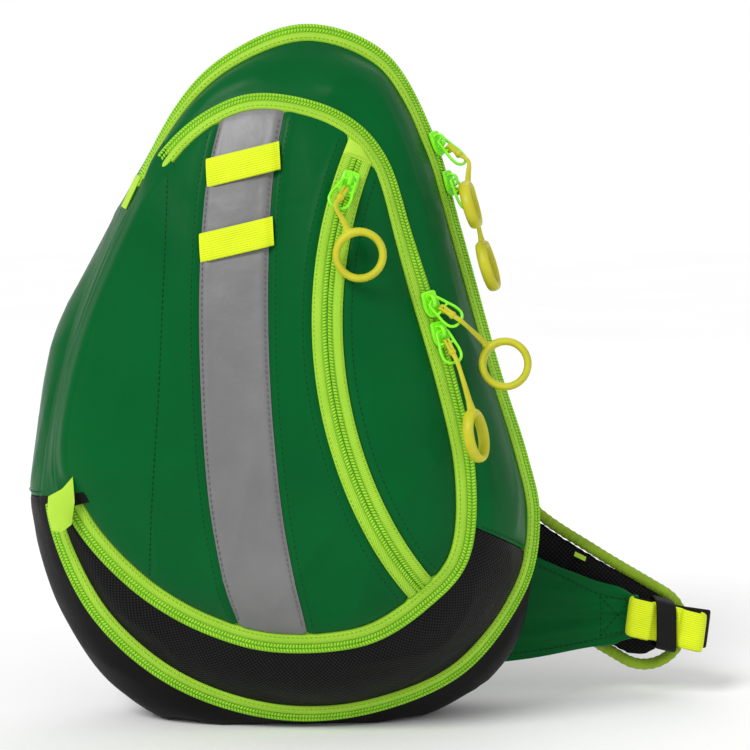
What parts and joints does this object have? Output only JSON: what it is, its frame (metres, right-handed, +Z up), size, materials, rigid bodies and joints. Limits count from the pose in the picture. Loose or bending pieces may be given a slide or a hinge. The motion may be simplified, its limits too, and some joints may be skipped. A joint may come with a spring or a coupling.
{
  "type": "trauma backpack",
  "caption": "Teardrop sling pack for a first responder, with a clamshell main door, a domed front pocket, curved zips with ring pulls, a hip wing and one padded shoulder strap.",
  "frame": {"origin": "centre of the flat of the base, where the pack stands on the ground", "axes": "+Z up, -Y out of the front pocket, +X towards the side with the hip wing (the viewer's right from the front)"},
  "size_m": [0.4773, 0.2095, 0.4709],
  "materials": {
    "coated_green": "glossy coated cloth",
    "ballistic_black": "coarse matt weave",
    "lining_grey": "matt",
    "lime_binding": "matt twill tape",
    "lime_chain": "satin coil",
    "slider_lime": "glossy paint",
    "silicone_olive": "satin",
    "webbing_yellow": "ribbed webbing",
    "reflective_grey": "reflective tape",
    "patch_pale_lime": "matt",
    "spacer_mesh_black": "matt mesh over foam",
    "stiffener_white": "matt sheet",
    "buckle_black": "fine grain"
  },
  "bodies": {
    "bag": {"rear_gusset_upper": "coated_green", "rear_gusset_base": "ballistic_black", "back_panel": "ballistic_black", "frame_sheet": "stiffener_white", "back_liner": "lining_grey", "inner_slip_pocket": "lining_grey", "inner_elastic_loops": "ballistic_black", "lumbar_pad": "spacer_mesh_black", "mid_back_pad": "spacer_mesh_black", "upper_back_pad": "spacer_mesh_black", "main_zip_bag_half": "lime_chain", "hip_wing": "coated_green", "hip_webbing": "ballistic_black", "webbing_roll": "webbing_yellow", "elastic_keeper": "ballistic_black", "shoulder_strap_pad": "spacer_mesh_black", "shoulder_strap_binding": "lime_binding", "strap_size_tag": "lime_binding"},
    "main_door": {"door_gusset_upper": "coated_green", "door_gusset_base": "ballistic_black", "bulkhead_panel": "lining_grey", "main_zip_binding": "lime_binding", "main_zip_door_half": "lime_chain", "front_zip_door_half": "lime_chain", "upper_zip_tab": "patch_pale_lime"},
    "front_lid": {"lid_left_panel": "coated_green", "reflective_strip": "reflective_grey", "lid_centre_panel": "coated_green", "lid_right_panel": "coated_green", "quick_zip_left_half": "lime_binding", "quick_zip_right_half": "lime_binding", "garage_patch": "patch_pale_lime", "quick_pocket_bag": "lining_grey", "webbing_loop_upper": "webbing_yellow", "webbing_loop_lower": "webbing_yellow", "lower_zip_tab": "patch_pale_lime", "front_zip_binding": "lime_binding", "front_zip_lid_half": "lime_chain"},
    "main_zip_upper_slider": {"main_zip_upper_slider": "slider_lime"},
    "main_zip_upper_pull_loop": {"main_zip_upper_pull_loop": "slider_lime"},
    "main_zip_upper_ring_pull": {"main_zip_upper_ring_pull": "silicone_olive"},
    "main_zip_lower_slider": {"main_zip_lower_slider": "slider_lime"},
    "main_zip_lower_pull_loop": {"main_zip_lower_pull_loop": "slider_lime"},
    "main_zip_lower_ring_pull": {"main_zip_lower_ring_pull": "silicone_olive"},
    "front_zip_upper_slider": {"front_zip_upper_slider": "slider_lime"},
    "front_zip_upper_pull_loop": {"front_zip_upper_pull_loop": "slider_lime"},
    "front_zip_upper_ring_pull": {"front_zip_upper_ring_pull": "silicone_olive"},
    "front_zip_lower_slider": {"front_zip_lower_slider": "slider_lime"},
    "front_zip_lower_pull_loop": {"front_zip_lower_pull_loop": "slider_lime"},
    "front_zip_lower_ring_pull": {"front_zip_lower_ring_pull": "silicone_olive"},
    "quick_zip_slider": {"quick_zip_slider": "slider_lime"},
    "quick_zip_pull_loop": {"quick_zip_pull_loop": "slider_lime"},
    "quick_zip_ring_pull": {"quick_zip_ring_pull": "silicone_olive"},
    "strap_adjuster": {"strap_adjuster": "buckle_black"},
    "haul_loop": {"haul_loop": "ballistic_black"}
  },
  "joints": [
    {"name": "main_door_hinge", "type": "hinge", "parent": "bag", "child": "main_door", "pos_m": [-0.1565, -0.01419, 0.236], "axis": [-0.2259, -0.0651, -0.972], "range_deg": [0, 110]},
    {"name": "front_lid_hinge", "type": "hinge", "parent": "main_door", "child": "front_lid", "pos_m": [-0.1605, -0.02694, 0.236], "axis": [-0.2263, -0.0289, -0.9736], "range_deg": [0, 90]},
    {"name": "main_zip_upper_slide", "type": "slide", "parent": "main_door", "child": "main_zip_upper_slider", "axis": [0.3543, -0.0625, -0.933], "range_m": [-0.05, 0]},
    {"name": "main_zip_upper_loop_hinge", "type": "hinge", "parent": "main_zip_upper_slider", "child": "main_zip_upper_pull_loop", "pos_m": [0.09535, -0.00764, 0.39421], "axis": [-0.5046, -0.7838, -0.362], "range_deg": [0, 90]},
    {"name": "main_zip_upper_ring_hinge", "type": "hinge", "parent": "main_zip_upper_pull_loop", "child": "main_zip_upper_ring_pull", "pos_m": [0.10114, -0.00874, 0.38852], "axis": [-0.5046, -0.7838, -0.362], "range_deg": [0, 60]},
    {"name": "main_zip_lower_slide", "type": "hinge", "parent": "main_door", "child": "main_zip_lower_slider", "pos_m": [2.3861, 0.032, 0.9255], "axis": [0, -0.9978, 0.0669], "range_deg": [0, 4]},
    {"name": "main_zip_lower_loop_hinge", "type": "hinge", "parent": "main_zip_lower_slider", "child": "main_zip_lower_pull_loop", "pos_m": [0.10388, -0.00911, 0.36778], "axis": [-0.565, -0.8195, -0.0954], "range_deg": [0, 20]},
    {"name": "main_zip_lower_ring_hinge", "type": "hinge", "parent": "main_zip_lower_pull_loop", "child": "main_zip_lower_ring_pull", "pos_m": [0.10747, -0.01075, 0.36059], "axis": [-0.565, -0.8195, -0.0954], "range_deg": [0, 60]},
    {"name": "front_zip_upper_slide", "type": "slide", "parent": "front_lid", "child": "front_zip_upper_slider", "axis": [0.2899, -0.1101, -0.9507], "range_m": [-0.05, 0]},
    {"name": "front_zip_upper_loop_hinge", "type": "hinge", "parent": "front_zip_upper_slider", "child": "front_zip_upper_pull_loop", "pos_m": [0.08571, -0.06823, 0.29088], "axis": [-0.6052, -0.3837, -0.6975], "range_deg": [0, 90]},
    {"name": "front_zip_upper_ring_hinge", "type": "hinge", "parent": "front_zip_upper_pull_loop", "child": "front_zip_upper_ring_pull", "pos_m": [0.09211, -0.06918, 0.28584], "axis": [-0.6052, -0.3837, -0.6975], "range_deg": [0, 60]},
    {"name": "front_zip_lower_slide", "type": "hinge", "parent": "front_lid", "child": "front_zip_lower_slider", "pos_m": [-0.3214, -0.0086, 0.1252], "axis": [0.1576, 0.9853, -0.066], "range_deg": [0, 13]},
    {"name": "front_zip_lower_loop_hinge", "type": "hinge", "parent": "front_zip_lower_slider", "child": "front_zip_lower_pull_loop", "pos_m": [0.0916, -0.07048, 0.27132], "axis": [-0.8968, -0.3837, -0.2203], "range_deg": [0, 80]},
    {"name": "front_zip_lower_ring_hinge", "type": "hinge", "parent": "front_zip_lower_pull_loop", "child": "front_zip_lower_ring_pull", "pos_m": [0.09451, -0.07317, 0.26414], "axis": [-0.8968, -0.3837, -0.2203], "range_deg": [0, 60]},
    {"name": "quick_zip_slide", "type": "hinge", "parent": "front_lid", "child": "quick_zip_slider", "pos_m": [0.2685, 0.0037, 0.2646], "axis": [0.3356, -0.9295, 0.1531], "range_deg": [0, 40]},
    {"name": "quick_zip_loop_hinge", "type": "hinge", "parent": "quick_zip_slider", "child": "quick_zip_pull_loop", "pos_m": [0.03257, -0.07078, 0.3692], "axis": [-0.8791, 0.0356, 0.4753], "range_deg": [0, 100]},
    {"name": "quick_zip_ring_hinge", "type": "hinge", "parent": "quick_zip_pull_loop", "child": "quick_zip_ring_pull", "pos_m": [0.02923, -0.07551, 0.36339], "axis": [-0.8791, 0.0356, 0.4753], "range_deg": [0, 60]},
    {"name": "haul_loop_hinge", "type": "hinge", "parent": "bag", "child": "haul_loop", "pos_m": [-0.02, 0.07688, 0.446], "axis": [1, 0, 0], "range_deg": [0, 120]},
    {"name": "adjuster_tilt", "type": "hinge", "parent": "bag", "child": "strap_adjuster", "pos_m": [0.262, 0.08465, 0.062], "axis": [0.9762, 0, -0.2169], "range_deg": [0, 18]}
  ]
}
